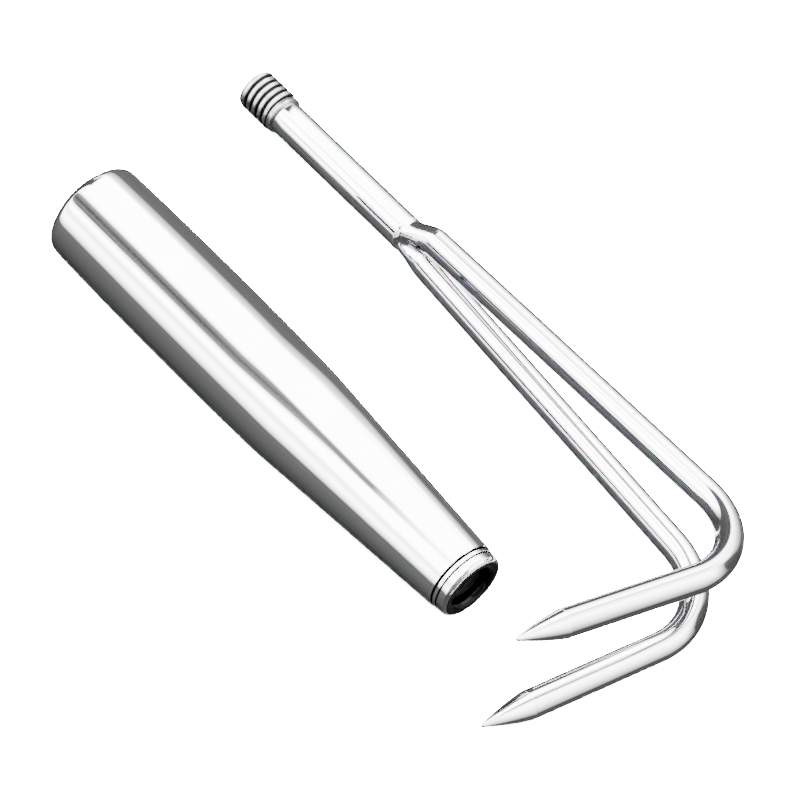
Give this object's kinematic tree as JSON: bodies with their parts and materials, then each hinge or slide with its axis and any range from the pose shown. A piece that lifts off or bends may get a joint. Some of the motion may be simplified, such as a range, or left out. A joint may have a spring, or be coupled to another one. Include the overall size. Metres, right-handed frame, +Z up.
{
  "type": "marshmallow roasting fork",
  "caption": "Hand fork of polished steel: a hollow tapered handle that screws onto a threaded shank, which splits into paired tines bent back to pointed prongs.",
  "frame": {"origin": "middle of the bounding box of the laid-out pair, on the surface that it lies on", "axes": "+X runs along the handle from its end cap to its mouth; +Y from the handle across to the shank; +Z up from the surface"},
  "size_m": [0.2122, 0.105, 0.0426],
  "materials": {
    "handle_steel": "mirror-polished stainless steel with fine draw lines",
    "cap_steel": "polished stainless steel",
    "ring_steel": "polished stainless steel",
    "bush_steel": "turned and polished stainless steel",
    "insert_steel": "tapped steel, dull in the hole",
    "thread_steel": "cut thread, satin",
    "rod_steel": "polished stainless steel rod",
    "root_steel": "pressed and welded steel, polished over",
    "tip_steel": "ground and polished steel"
  },
  "bodies": {
    "fork": {"thread_stud": "thread_steel", "shank": "rod_steel", "fork_root": "root_steel", "tine_upper": "rod_steel", "tine_lower": "rod_steel", "tip_upper": "tip_steel", "tip_lower": "tip_steel"},
    "nose": {"nose_ring": "ring_steel"},
    "handle": {"handle_shell": "handle_steel", "end_cap": "cap_steel", "nose_bush": "bush_steel", "thread_insert": "insert_steel"}
  },
  "joints": [
    {"name": "handle_advance", "type": "slide", "parent": "fork", "child": "nose", "axis": [1, 0, 0], "range_m": [0, 0.011]},
    {"name": "handle_turn", "type": "hinge", "parent": "nose", "child": "handle", "pos_m": [0.05861, -0.03114, 0.0151], "axis": [1, 0, 0], "range_deg": [0, 1800]}
  ],
  "couplings": [
    {"joint": "handle_turn", "follows": "handle_advance", "rad_per_m": 2856}
  ]
}
